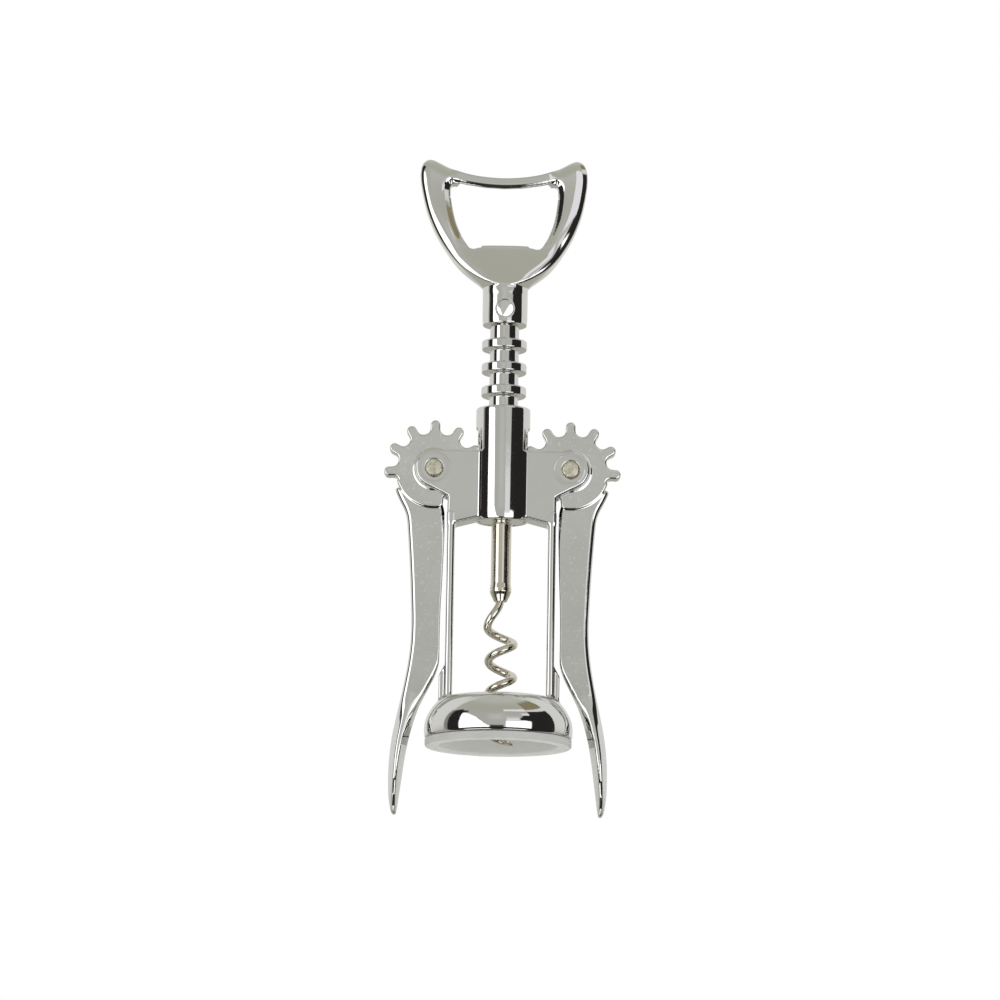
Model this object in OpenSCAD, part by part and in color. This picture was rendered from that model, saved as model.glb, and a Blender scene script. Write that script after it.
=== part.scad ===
// Wing corkscrew: a ringed rack slides in a barrel and swings two geared levers.
// Upright frame: +Z towards the handle, X across the wings, Y front to back.
// The origin is the centre of the bell's open mouth.
// Millimetres throughout.

/* [Bell and liner] */
// Largest diameter of the bell
bell_d = 39.2; // [38.8:0.1:41]
// Height of the bell's crown above its mouth
bell_h = 13.05; // [12.8:0.05:13.6]
// Diameter of the hole in the bell's crown, which the worm and the cork pass through
bell_hole_d = 24.6; // [24:0.1:25]
// Inside diameter of the liner, which takes a bottle's lip
socket_d = 31.2; // [29.5:0.1:31.6]
// Depth of the liner from its mouth to the seat for the lip
socket_depth = 6.8; // [6:0.1:7]

/* [Barrel and cheeks] */
// Outside diameter of the barrel
barrel_d = 14.4; // [14:0.1:15]
// Bore of the barrel, a sliding fit on the rack
barrel_bore = 12.2; // [12.16:0.01:12.4]
// Height of the barrel's lower end
barrel_z0 = 59.9; // [59:0.1:60]
// Height of the barrel's upper end
barrel_z1 = 90.7; // [88:0.1:93]
// Thickness of the frame from front to back
frame_t = 8.2; // [8:0.1:9]
// Width of the slot between the two cheeks
slot_t = 4.8; // [4.7:0.1:5.2]
// Width of a leg seen from the front
leg_w = 2.05; // [1.8:0.05:2.2]

/* [Pivots and gears] */
// Distance of each pivot from the middle of the object
pivot_x = 18.1; // [18:0.1:18.4]
// Height of the pivots
pivot_z = 73.85; // [73.6:0.05:74]
// Rolling radius: rack travel divided by the levers' turn in radians
roll_r = 11.5; // [11.4:0.1:11.6]
// Radius of the gear at the bottom of the gaps
root_r = 9.75; // [9:0.05:10]
// Radius of the gear over the tips of the teeth
tip_r = 13.3; // [13:0.05:13.4]
// Width of a tooth
tooth_w = 2.6; // [2.4:0.1:2.7]
// Thickness of the gear
gear_t = 4.5; // [4.2:0.1:4.6]
// Thickness of the arm below the gear
arm_t = 3.6; // [3:0.1:4.2]
// Diameter of the pivot rivets' shafts
rivet_d = 3.4; // [3:0.1:3.8]

/* [Rack and handle] */
// Diameter over the rack's rings and of the handle's hub
rack_d = 12; // [11.8:0.1:12]
// Diameter of the rack between its rings
neck_d = 7.7; // [7:0.1:8.2]
// Height of one ring
ring_t = 2.6; // [2.4:0.1:2.8]
// Lower face of the top ring
top_ring_z = 106.45; // [106.3:0.05:106.6]
// Thickness of the opener's plate
head_t = 7.5; // [6:0.1:9]

/* [Spindle and worm] */
// Diameter of the rod inside the rack
rod_d = 4.2; // [4:0.1:4.6]
// Diameter of the bare shank
shank_d = 5.3; // [5:0.1:5.6]
// Diameter of the worm's wire
wire_d = 2.2; // [2:0.1:2.4]
// Radius of the worm's centre line
worm_r = 3.3; // [3.1:0.1:3.5]
// Rise of the worm in one turn
worm_pitch = 8.95; // [8.5:0.05:9.2]

/* [Hidden] */
$fn = 72;

chrome = [0.72, 0.73, 0.72];
nickel = [0.70, 0.68, 0.60];
steel = [0.66, 0.64, 0.58];
plastic = [0.78, 0.78, 0.75];

eps = 0.01;
rack_pitch = PI * 2;                 // module 2
ring_count = 7;
rack_z0 = barrel_z0 + 0.1;           // rack's lower face stands flush with the barrel
rack_z1 = 112.9;
hub_z0 = 113;
hub_z1 = 123;
tooth_step = rack_pitch / roll_r * 180 / PI;
first_tooth = 184.6;                 // tooth that sits in the rack at rest, right gear
pin_z = 117;
pin_r = 1.2;
pin_head_r = 2.2;
leg_in = 12.35;
leg_out = leg_in + leg_w;
leg_z1 = 59.1;
slot_r = tip_r + 0.45;
end_r = 4.9;                         // round end of a cheek about its pivot
cheek_top = pivot_z + end_r;
corner = [leg_out, 66.4];            // lower outer corner of a cheek

// Extrudes an outline drawn in X and Z, centred on the front-back plane.
module across(t) {
  rotate([90, 0, 0]) linear_extrude(height = t, center = true) children();
}

module right_and_left() {
  children();
  mirror([1, 0, 0]) children();
}

// ---- bell, liner and legs ----

// Outer outline of the bell from its lower edge to its crown.
bell_r = bell_d / 2;
dome = [[bell_r - 0.25, 2], [bell_r - 0.05, 3.5], [bell_r, 5], [bell_r - 0.3, 6.8],
        [bell_r - 0.9, 8.3], [bell_r - 1.8, 9.9], [bell_r - 2.9, 11.3],
        [bell_r - 4.0, 12.3], [bell_r - 5.2, bell_h - 0.2], [bell_r - 6.3, bell_h],
        [bell_hole_d / 2 + 0.4, bell_h - 0.2], [bell_hole_d / 2, bell_h - 0.7]];
hollow = [[bell_hole_d / 2, 11.5], [14.4, 11.2], [16, 10.2], [17, 8.8], [17.6, 7.2],
          [17.8, 5.6], [17.8, 2]];

module bell() {
  color(chrome) rotate_extrude() polygon(concat(dome, hollow));
}

// The bell with its inside filled, which the feet of the legs are cut by.
module bell_filled() {
  rotate_extrude() polygon(concat([[0, 1], [bell_r - 0.25, 1]], dome, [[0, bell_h - 0.7]]));
}

module bell_liner() {
  color(plastic) rotate_extrude() polygon([
    [socket_d / 2 + 0.5, 0], [bell_r - 0.6, 0], [bell_r - 0.25, 0.35], [bell_r - 0.25, 2],
    [17.78, 2], [17.78, 5.5], [16.9, 8.2], [12.2, 8.2], [12.2, socket_depth],
    [socket_d / 2, socket_depth], [socket_d / 2, 0.5]]);
}

module leg() {
  difference() {
    union() {
      translate([leg_in, -frame_t / 2, 10]) cube([leg_w, frame_t, leg_z1 - 10]);
      across(6.4) polygon([[leg_out - 0.5, 10], [15.9, 10], [15.9, 18.7],
                           [leg_out, 21.4], [leg_out - 0.5, 21.4]]);
    }
    bell_filled();
  }
}
module right_leg() { color(chrome) leg(); }
module left_leg() { color(chrome) mirror([1, 0, 0]) leg(); }

// ---- barrel and cheeks ----

// Where the line from the cheek's corner touches its round end.
function tangent_point(c, r, p) =
  let (d = norm(p - c), a = atan2(p[1] - c[1], p[0] - c[0]) + acos(r / d))
  [c[0] + r * cos(a), c[1] + r * sin(a)];

pivot = [pivot_x, pivot_z];

module cheek_outline() {
  polygon([[-eps, 60.3], [6.2, 60.7], [leg_in, leg_z1], [leg_out, leg_z1], corner,
           tangent_point(pivot, end_r, corner), pivot, [pivot_x, cheek_top],
           [-eps, cheek_top]]);
  translate(pivot) circle(r = end_r);
}

module slot_outline() {
  translate(pivot) circle(r = slot_r);
  translate([5, pivot_z]) square([30, 85 - pivot_z]);
}

module frame_barrel() {
  color(chrome) difference() {
    union() {
      translate([0, 0, barrel_z0]) cylinder(d = barrel_d, h = barrel_z1 - barrel_z0);
      right_and_left() across(frame_t) cheek_outline();
    }
    translate([0, 0, barrel_z0 - 5]) cylinder(d = barrel_bore, h = barrel_z1 - barrel_z0 + 10);
    right_and_left() {
      across(slot_t) slot_outline();
      translate([pivot_x, 0, pivot_z]) rotate([90, 0, 0]) {
        cylinder(d = rivet_d + 0.02, h = frame_t + 2, center = true);
        for (s = [-1, 1]) translate([0, 0, s * (frame_t / 2 + 0.6)])
          cylinder(r = 2.65, h = 2, center = true);
      }
    }
  }
}

// A rivet through both cheeks, with a head in each counterbore.
module pivot_rivet() {
  translate([pivot_x, 0, pivot_z]) rotate([90, 0, 0]) {
    cylinder(d = rivet_d, h = frame_t - 0.8, center = true);
    for (s = [0, 1]) mirror([0, 0, s])
      translate([0, 0, frame_t / 2 - 0.4]) rotate_extrude()
        polygon([[0, 0], [2.15, 0], [2.15, 0.65], [1.75, 1.05], [0, 1.05]]);
  }
}
module right_pivot_rivet() { color(steel) pivot_rivet(); }
module left_pivot_rivet() { color(steel) mirror([1, 0, 0]) pivot_rivet(); }

// ---- levers ----

// One tooth, pointing along +X from the pivot: parallel sides and a round tip.
module tooth() {
  translate([root_r - 1.5, -tooth_w / 2]) square([tip_r - tooth_w / 2 - root_r + 1.5, tooth_w]);
  translate([tip_r - tooth_w / 2, 0]) circle(d = tooth_w);
}

module gear_outline() {
  difference() {
    union() {
      circle(r = root_r);
      // the gear's rim carries on below its last tooth, a little larger
      intersection() {
        circle(r = 10.3);
        translate([-3, -12]) square([13.5, 9]);
      }
    }
    // clear of the leg, where no tooth is needed
    polygon([[-2.2, -11], [-2.6, -7.4], [-8.6, -4.6], [-14, -4.6], [-14, -14], [-2.2, -14]]);
  }
  for (k = [0 : 6]) rotate(first_tooth - k * tooth_step) tooth();
}

// Outline of the arm: down its outer side from the shoulder, round the tip,
// and back up its inner side.
arm_outer = [[27.6, 69], [28.4, 68.6], [27.9, 67.3], [26.9, 65.2], [25.8, 63.2], [25.1, 61],
  [24.8, 57.6], [24.3, 51], [23.9, 44.7], [23.6, 38.3], [23.4, 33.5], [23.45, 28.7],
  [23.7, 25.4], [24.1, 22], [24.6, 19], [25.2, 15.9], [25.9, 12.7], [26.6, 9.5],
  [27.3, 6.3], [27.9, 3.2], [28.35, 0], [28.65, -3.2], [28.8, -6.4], [28.8, -10.5],
  [28.6, -13.8], [28.1, -16.8], [27.7, -17.8], [27.1, -18.3]];
arm_inner = [[26.5, -17.9], [26.15, -16], [25.9, -14], [25.5, -11], [25.1, -8],
  [24.7, -4.8], [24.2, -1.6], [23.6, 1.6], [22.8, 4.8], [21.9, 7.9], [20.7, 11.1],
  [19.9, 12.7], [19.1, 14.3], [18.3, 15.9], [17.5, 17.5], [16.7, 19.3], [15.9, 21.9],
  [15.85, 24], [15.9, 30], [15.8, 36.7], [15.5, 43], [15.3, 49.5], [15.1, 55],
  [15.1, 60.2], [15.2, 63.7], [17.5, 68.5]];

// The lower end of the arm swells from front to back into a rounded horn: its
// centre in X, its height, half its width and half its depth.
horn = [[22.6, 14, 1.9, 1.7], [24.3, 8, 2.1, 2.5], [25.4, 4, 2.05, 3.0], [26.2, 0, 1.95, 3.3],
  [26.7, -4.5, 1.9, 3.4], [26.95, -9, 1.65, 3.2], [27.15, -13, 1.3, 2.6],
  [27.2, -16, 0.85, 1.7], [27.1, -17.6, 0.4, 0.8]];
horn_sides = 16;

module horn() {
  last = len(horn) - 1;
  polyhedron(points = [for (s = horn, k = [0 : horn_sides - 1])
      let (a = 360 * k / horn_sides) [s[0] + s[2] * cos(a), s[3] * sin(a), s[1]]],
    faces = concat(
      [[for (k = [horn_sides - 1 : -1 : 0]) k]],
      [[for (k = [0 : horn_sides - 1]) last * horn_sides + k]],
      [for (i = [0 : last - 1], k = [0 : horn_sides - 1])
        [i * horn_sides + k, (i + 1) * horn_sides + (k + 1) % horn_sides,
         (i + 1) * horn_sides + k]],
      [for (i = [0 : last - 1], k = [0 : horn_sides - 1])
        [i * horn_sides + k, i * horn_sides + (k + 1) % horn_sides,
         (i + 1) * horn_sides + (k + 1) % horn_sides]]),
    convexity = 4);
}

module lever() {
  difference() {
    union() {
      across(gear_t) translate(pivot) gear_outline();
      across(arm_t) polygon(concat(arm_outer, arm_inner));
      horn();
    }
    translate([pivot_x, 0, pivot_z]) rotate([90, 0, 0])
      cylinder(d = rivet_d + 0.1, h = gear_t + 2, center = true);
  }
}
module right_lever() { color(chrome) lever(); }
module left_lever() { color(chrome) mirror([1, 0, 0]) lever(); }

// ---- rack, spindle, worm ----

module rack() {
  color(chrome) difference() {
    union() {
      translate([0, 0, rack_z0]) cylinder(d = neck_d, h = rack_z1 - rack_z0);
      // plain collar at the lower end, up to the lowest ring's top
      translate([0, 0, rack_z0])
        cylinder(d = rack_d, h = top_ring_z - ring_count * rack_pitch + ring_t - rack_z0);
      for (k = [0 : ring_count - 1])
        translate([0, 0, top_ring_z - k * rack_pitch]) rotate_extrude()
          polygon([[0, 0], [rack_d / 2 - 0.3, 0], [rack_d / 2, 0.3],
                   [rack_d / 2, ring_t - 0.3], [rack_d / 2 - 0.3, ring_t], [0, ring_t]]);
    }
    translate([0, 0, rack_z0 - 1]) cylinder(d = rod_d + 0.12, h = rack_z1 - rack_z0 + 2);
  }
}

shank_z0 = 38.8;                     // mouth of the socket that grips the worm
module spindle() {
  color(nickel) difference() {
    union() {
      rotate_extrude() polygon([
        [0, shank_z0], [1.75, shank_z0], [2.9, 41.2], [2.9, 42.2], [shank_d / 2, 43.4],
        [shank_d / 2, barrel_z0], [rod_d / 2, barrel_z0], [rod_d / 2, 121], [0, 121]]);
    }
    translate([0, 0, shank_z0 - 1]) cylinder(r = 1.45, h = 2.8);
    translate([0, 0, shank_z0]) cylinder(d = wire_d + 0.02, h = 8.2);
    translate([0, 0, pin_z]) rotate([90, 0, 0]) cylinder(r = pin_r + 0.01, h = 8, center = true);
  }
}

// The worm's centre line, counted in turns from its point. After the last
// turn the wire runs in to the axis and up into the spindle.
worm_turns = 3.5;
worm_z0 = 0.6;
run_in = 8.4;
steps_per_turn = 20;
worm_off = 0.4;                      // the coil stands a little to one side
coil_z1 = worm_z0 + worm_pitch * worm_turns;
worm_start = 0;                      // where the point stands, in turns
// The last turn before the point is drawn out a little further down.
function sag(t) = t > 1.2 ? 0 : t > 0.35 ? 0.55 * pow(cos(90 * (t - 0.35) / 0.85), 2)
                                         : 0.55 * sin(90 * t / 0.35);
function coil_at(t) = [worm_off * min(1, (worm_turns - t) * 2) + worm_r * cos(360 * t),
                       worm_r * sin(360 * t), worm_z0 + worm_pitch * t - sag(t)];
coil_steps = [for (i = [worm_start * steps_per_turn : worm_turns * steps_per_turn])
              i / steps_per_turn];
function run_at(s) = let (a = 180 + 90 * s, r = worm_r * (1 + cos(180 * s)) / 2)
                     [r * cos(a), r * sin(a), coil_z1 + run_in * s];
worm_path = concat(
  [for (t = coil_steps) coil_at(t)],
  [for (i = [1 : 9]) run_at(i / 9)],
  [[0, 0, coil_z1 + run_in + 2], [0, 0, 46.9]]);
worm_angle = concat(
  [for (t = coil_steps) 360 * t],
  [for (i = [1 : 9]) 180 + 90 * i / 9], [270, 270]);
function wire_r(i) = wire_d / 2 * min(1, 0.08 + 0.92 * i / (steps_per_turn * 0.4));
function unit(v) = v / norm(v);
function along(p, i) = unit(p[min(i + 1, len(p) - 1)] - p[max(i - 1, 0)]);
sides = 10;

module worm() {
  rings = [for (i = [0 : len(worm_path) - 1])
    let (t = along(worm_path, i), e = [cos(worm_angle[i]), sin(worm_angle[i]), 0],
         n = unit(e - (e * t) * t), b = cross(t, n))
    for (k = [0 : sides - 1])
      worm_path[i] + wire_r(i) * (cos(360 * k / sides) * n + sin(360 * k / sides) * b)];
  last = len(worm_path) - 1;
  color(nickel) polyhedron(points = rings, faces = concat(
    [[for (k = [0 : sides - 1]) k]],
    [[for (k = [sides - 1 : -1 : 0]) last * sides + k]],
    [for (i = [0 : last - 1], k = [0 : sides - 1])
      [i * sides + k, (i + 1) * sides + k, (i + 1) * sides + (k + 1) % sides]],
    [for (i = [0 : last - 1], k = [0 : sides - 1])
      [i * sides + k, (i + 1) * sides + (k + 1) % sides, i * sides + (k + 1) % sides]]),
    convexity = 10);
}

// ---- handle ----

// Right half of the opener's outline, from the neck up round the horn.
head_half = [[4.6, 118], [4.6, 121], [6.1, 122.4], [7, 124], [9, 125.6], [10.8, 127.2], [13.7, 130.5],
  [16, 133.8], [17.95, 137], [19.5, 140.4], [20.7, 143.7], [21.5, 147], [22.1, 150.2],
  [22.4, 153], [22.25, 155.2], [21.6, 157], [20.7, 158], [19.6, 158.3], [18.2, 157.7],
  [15.3, 156], [12, 154.8], [8, 153.9], [4, 153.4]];
// Right half of the window, with a notch beside the tongue below it.
window_half = [[5, 150.65], [10, 151.4], [13.2, 152.1], [14.2, 151.5], [14.5, 150.2],
  [14.2, 147], [13.7, 143.7], [12.9, 140.4], [11.45, 137], [10.5, 135.1], [9.8, 134],
  [9, 133.5], [7.9, 133.6], [7.2, 133.9], [6.6, 133.9], [6.3, 134.1], [6.2, 134.5]];
function mirrored(p) = [for (i = [len(p) - 1 : -1 : 0]) [-p[i][0], p[i][1]]];

module head_outline() {
  difference() {
    polygon(concat(head_half, [[0, 153.2]], mirrored(head_half)));
    polygon(concat([[0, 150.4]], window_half, mirrored(window_half)));
  }
}

module opener_handle() {
  color(chrome) difference() {
    union() {
      translate([0, 0, hub_z0]) rotate_extrude() polygon([
        [0, 0], [rack_d / 2 - 0.5, 0], [rack_d / 2, 0.5], [rack_d / 2, hub_z1 - hub_z0],
        [head_t / 2, 128.5 - hub_z0], [0, 128.5 - hub_z0]]);
      across(head_t) head_outline();
      // the plate thickens from the window down to the hub
      intersection() {
        across(rack_d - 0.1) head_outline();
        rotate([90, 0, 90]) linear_extrude(height = 50, center = true) polygon([
          [-head_t / 2, 133.4], [-rack_d / 2 + 0.1, 124], [-rack_d / 2 + 0.1, 121.2],
          [rack_d / 2 - 0.1, 121.2], [rack_d / 2 - 0.1, 124], [head_t / 2, 133.4]]);
      }
    }
    translate([0, 0, hub_z0 - 1]) cylinder(d = rod_d + 0.02, h = 9.2);
    translate([0, 0, pin_z]) rotate([90, 0, 0]) {
      cylinder(r = pin_r + 0.01, h = rack_d + 2, center = true);
      for (s = [-1, 1]) translate([0, 0, s * 6]) cylinder(r = pin_head_r + 0.01, h = 2.8, center = true);
    }
  }
}

// Cross pin through the hub and the spindle, its ends dressed flush with the hub.
module handle_pin() {
  color(steel) intersection() {
    translate([0, 0, pin_z]) rotate([90, 0, 0]) {
      cylinder(r = pin_r, h = rack_d + 2, center = true);
      for (s = [-1, 1]) translate([0, 0, s * 6]) cylinder(r = pin_head_r, h = 2.8, center = true);
    }
    translate([0, 0, pin_z - 4]) cylinder(d = rack_d, h = 8);
  }
}

frame_barrel();
left_leg();
right_leg();
bell();
bell_liner();
left_pivot_rivet();
right_pivot_rivet();
left_lever();
right_lever();
rack();
spindle();
worm();
opener_handle();
handle_pin();
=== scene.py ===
import math

import bpy
import numpy as np
from mathutils import Matrix, Vector


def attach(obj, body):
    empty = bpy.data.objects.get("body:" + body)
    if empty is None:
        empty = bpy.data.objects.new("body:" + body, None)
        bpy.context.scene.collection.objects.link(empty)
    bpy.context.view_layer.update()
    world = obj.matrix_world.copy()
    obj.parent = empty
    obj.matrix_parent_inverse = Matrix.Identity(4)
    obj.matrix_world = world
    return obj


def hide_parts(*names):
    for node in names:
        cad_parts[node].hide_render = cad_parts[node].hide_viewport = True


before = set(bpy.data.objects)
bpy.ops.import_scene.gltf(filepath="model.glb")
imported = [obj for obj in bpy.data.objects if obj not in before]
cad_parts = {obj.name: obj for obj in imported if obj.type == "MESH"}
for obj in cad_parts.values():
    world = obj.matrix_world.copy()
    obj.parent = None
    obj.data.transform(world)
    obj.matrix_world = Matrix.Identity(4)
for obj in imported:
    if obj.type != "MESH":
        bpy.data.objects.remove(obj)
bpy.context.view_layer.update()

MM = 0.001
scene = bpy.context.scene
scene.view_settings.view_transform = "Standard"
scene.view_settings.look = "None"

# ---------------------------------------------------------------- outlines, mm
PIVOT = np.array([18.1, 73.85])
DOME = [[19.35, 2.0], [19.55, 3.5], [19.6, 5.0], [19.3, 6.8], [18.7, 8.3], [17.8, 9.9],
        [16.7, 11.3], [15.6, 12.3], [14.4, 12.85], [13.3, 13.05], [12.7, 12.85],
        [12.3, 12.35]]
HOLLOW = [[12.3, 11.5], [14.4, 11.2], [16, 10.2], [17, 8.8], [17.6, 7.2], [17.8, 5.6],
          [17.8, 2.0]]
ARM_OUTER = [[27.6, 69], [28.4, 68.6], [27.9, 67.3], [26.9, 65.2], [25.8, 63.2], [25.1, 61],
             [24.8, 57.6], [24.3, 51], [23.9, 44.7], [23.6, 38.3], [23.4, 33.5], [23.45, 28.7],
             [23.7, 25.4], [24.1, 22], [24.6, 19], [25.2, 15.9], [25.9, 12.7], [26.6, 9.5],
             [27.3, 6.3], [27.9, 3.2], [28.35, 0], [28.65, -3.2], [28.8, -6.4], [28.8, -10.5],
             [28.6, -13.8], [28.1, -16.8], [27.7, -17.8], [27.1, -18.3]]
ARM_INNER = [[26.5, -17.9], [26.15, -16], [25.9, -14], [25.5, -11], [25.1, -8], [24.7, -4.8],
             [24.2, -1.6], [23.6, 1.6], [22.8, 4.8], [21.9, 7.9], [20.7, 11.1], [19.9, 12.7],
             [19.1, 14.3], [18.3, 15.9], [17.5, 17.5], [16.7, 19.3], [15.9, 21.9],
             [15.85, 24], [15.9, 30], [15.8, 36.7], [15.5, 43], [15.3, 49.5], [15.1, 55],
             [15.1, 60.2], [15.2, 63.7], [17.5, 68.5]]
# height, half width and half depth of the arm where it becomes a horn
HORN = [[24, 3.6, 1.8], [14, 3.0, 2.0], [8, 2.35, 2.6], [4, 2.2, 3.0], [0, 2.05, 3.3], [-4.5, 1.95, 3.45],
        [-9, 1.75, 3.25], [-13, 1.4, 2.65], [-16, 0.95, 1.8], [-17.6, 0.55, 1.0],
        [-18.4, 0.4, 0.6]]
HEAD = [[4.6, 118], [4.6, 121], [6.1, 122.7], [7, 124.4], [9, 126], [10.8, 127.5],
        [13.7, 130.5], [16, 133.8], [17.95, 137], [19.5, 140.4], [20.7, 143.7], [21.5, 147],
        [22.1, 150.2], [22.45, 153], [22.35, 155.4], [21.8, 157.2], [20.8, 158.1], [19.6, 158.4],
        [18.2, 158.0], [15.3, 156.4], [12, 154.9], [8, 153.9], [4, 153.4]]
WINDOW = [[5, 150.3], [10, 151.05], [13.2, 151.8], [14.2, 151.3], [14.5, 150.1], [14.2, 147],
          [13.7, 143.7], [12.9, 140.4], [11.45, 137], [10.5, 135.1], [9.8, 134.0], [9.0, 133.5],
          [7.9, 133.6], [7.2, 133.9], [6.6, 133.9], [6.3, 134.1], [6.2, 134.55]]
RACK_PITCH = math.pi * 2
TOOTH_STEP = math.degrees(RACK_PITCH / 11.5)
FIRST_TOOTH = 184.6


def mirrored(points):
    return [[-x, z] for x, z in reversed(points)]


def smooth_closed(points, passes=3):
    """Corner cutting: a closed outline becomes a smooth curve close to it."""
    p = np.array(points, float)
    for _ in range(passes):
        q = np.roll(p, -1, 0)
        p = np.stack([p * 0.75 + q * 0.25, p * 0.25 + q * 0.75], 1).reshape(-1, 2)
    return p


def smooth_open(points, passes=3):
    p = np.array(points, float)
    for _ in range(passes):
        a, b = p[:-1], p[1:]
        mid = np.stack([a * 0.75 + b * 0.25, a * 0.25 + b * 0.75], 1).reshape(-1, 2)
        p = np.vstack([p[:1], mid, p[-1:]])
    return p


# ------------------------------------------------------------ distance fields
def segment_distance(points, closed, u, v):
    """Distance from each (u, v) to a line of points."""
    n = len(points)
    best = np.full(np.broadcast(u, v).shape, 1e9, np.float32)
    for i in range(n if closed else n - 1):
        a, b = points[i], points[(i + 1) % n]
        e = b - a
        pu, pv = u - np.float32(a[0]), v - np.float32(a[1])
        t = np.clip((pu * e[0] + pv * e[1]) / max(e @ e, 1e-12), 0, 1)
        d = (pu - t * e[0]) ** 2 + (pv - t * e[1]) ** 2
        np.minimum(best, d.astype(np.float32), out=best)
    return np.sqrt(best)


def inside(points, u, v):
    n = len(points)
    odd = np.zeros(np.broadcast(u, v).shape, bool)
    for i in range(n):
        (x0, y0), (x1, y1) = points[i], points[(i + 1) % n]
        if y0 == y1:
            continue
        crosses = ((y0 > v) != (y1 > v)) & (u < (x1 - x0) * (v - y0) / (y1 - y0) + x0)
        odd ^= crosses
    return odd


def polygon(points, u, v):
    points = np.array(points, float)
    d = segment_distance(points, True, u, v)
    return np.where(inside(points, u, v), -d, d)


def both_round(a, b, r):
    """Where a and b are both inside, with the edge between them rounded to radius r."""
    return np.minimum(np.maximum(a + r, b + r), 0) + np.hypot(
        np.maximum(a + r, 0), np.maximum(b + r, 0)) - r


def both_oval(a, b, ra, rb):
    """As both_round, with an elliptical edge ra wide on a's side and rb deep on b's."""
    u, v = np.maximum(a + ra, 0) / ra, np.maximum(b + rb, 0) / rb
    length = np.sqrt(u * u + v * v)
    slope = np.sqrt((u / ra) ** 2 + (v / rb) ** 2)
    d = (length - 1) * length / np.maximum(slope, 1e-6)
    deep = np.maximum(a, b)
    return np.where(length < 0.05, np.minimum(deep, -0.3), d)


FLANK = [[0, 0], [0.06, 9], [0.13, 20], [0.2, 31], [0.28, 43], [0.36, 51], [0.5, 56],
         [0.7, 61], [0.85, 65], [1.0, 69], [1.4, 72]]


def almond(a, b, ra, rb):
    """A section ra wide and rb deep: a narrow nose, a tight turn, then steep flanks."""
    at, lean = np.array(FLANK).T
    fall = np.concatenate([[0], np.cumsum(np.diff(at) * (np.tan(np.radians(lean[1:]))
                                                         + np.tan(np.radians(lean[:-1]))) / 2)])
    whole = np.interp(1.0, at, fall)
    w = np.clip(1 + a / ra, 0, 1.4)
    drop = (np.interp(w, at, fall) / whole * rb).astype(np.float32)
    steep = np.cos(np.radians(np.interp(w, at, lean))).astype(np.float32)
    return np.maximum((b + drop) * steep, -0.8)


def join(a, b, k):
    """Union with a fillet about k wide."""
    h = np.maximum(k - np.abs(a - b), 0) / k
    return np.minimum(a, b) - h * h * k * 0.25


def cut(a, b, k):
    """a with b taken away, the edge softened over k."""
    return -join(-a, b, k)


def sample(field, p):
    """Trilinear reading of a field at grid coordinates p."""
    top = np.array(field.shape) - 1.001
    q = np.clip(p, 0, top)
    i = q.astype(np.int32)
    f = (q - i).astype(np.float32)
    x, y, z = i.T
    fx, fy, fz = f.T
    c = 0
    for dx in (0, 1):
        wx = fx if dx else 1 - fx
        for dy in (0, 1):
            wy = fy if dy else 1 - fy
            for dz in (0, 1):
                wz = fz if dz else 1 - fz
                c = c + wx * wy * wz * field[x + dx, y + dy, z + dz]
    return c


def grid(lo, hi, h):
    axes = [np.arange(a, b + h, h, dtype=np.float32) for a, b in zip(lo, hi)]
    x, y, z = axes
    return x[:, None, None], y[None, :, None], z[None, None, :]


def slope_at(field, p):
    g = np.empty((len(p), 3))
    for a in range(3):
        step = np.zeros(3)
        step[a] = 1.0
        g[:, a] = (sample(field, p + step) - sample(field, p - step)) / 2
    return g


def skin(field, lo, h):
    """Vertices, quads and normals of the surface where the field is 0."""
    field = np.ascontiguousarray(field, np.float32)
    s = field < 0
    count = np.zeros(tuple(n - 1 for n in s.shape), np.uint8)
    corners = [(a, b, c) for a in (0, 1) for b in (0, 1) for c in (0, 1)]
    nx, ny, nz = s.shape
    for a, b, c in corners:
        count += s[a:nx - 1 + a, b:ny - 1 + b, c:nz - 1 + c]
    active = (count > 0) & (count < 8)
    cells = np.argwhere(active)
    index = np.full(active.shape, -1, np.int32)
    index[active] = np.arange(len(cells))
    values = np.stack([field[cells[:, 0] + a, cells[:, 1] + b, cells[:, 2] + c]
                       for a, b, c in corners], 1)
    place, hits = np.zeros((len(cells), 3)), np.zeros(len(cells))
    for m, p in enumerate(corners):
        for n, q in enumerate(corners):
            if m < n and sum(abs(i - j) for i, j in zip(p, q)) == 1:
                fa, fb = values[:, m], values[:, n]
                hit = (fa < 0) != (fb < 0)
                t = fa[hit] / (fa[hit] - fb[hit])
                place[hit] += np.array(p) + t[:, None] * (np.array(q) - np.array(p))
                hits[hit] += 1
    at = cells + place / hits[:, None]
    for _ in range(3):
        g = slope_at(field, at)
        step = sample(field, at)[:, None] * g / np.maximum((g * g).sum(1), 1e-9)[:, None]
        at = at - np.clip(step, -0.4, 0.4)
    g = slope_at(field, at)
    normals = g / np.maximum(np.linalg.norm(g, axis=1), 1e-9)[:, None]
    quads = []
    for axis in range(3):
        o1, o2 = (axis + 1) % 3, (axis + 2) % 3
        lower = [slice(1, -1)] * 3
        upper = [slice(1, -1)] * 3
        lower[axis], upper[axis] = slice(0, -1), slice(1, None)
        change = s[tuple(lower)] != s[tuple(upper)]
        where = np.argwhere(change)
        where[:, o1] += 1
        where[:, o2] += 1
        ring = []
        for d1, d2 in ((-1, -1), (0, -1), (0, 0), (-1, 0)):
            w = where.copy()
            w[:, o1] += d1
            w[:, o2] += d2
            ring.append(index[w[:, 0], w[:, 1], w[:, 2]])
        quad = np.stack(ring, 1)
        outwards = s[where[:, 0], where[:, 1], where[:, 2]]
        quads.append(np.where(outwards[:, None], quad, quad[:, ::-1]))
    quads = np.vstack(quads)
    return np.array(lo) + at * h, quads, normals


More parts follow.
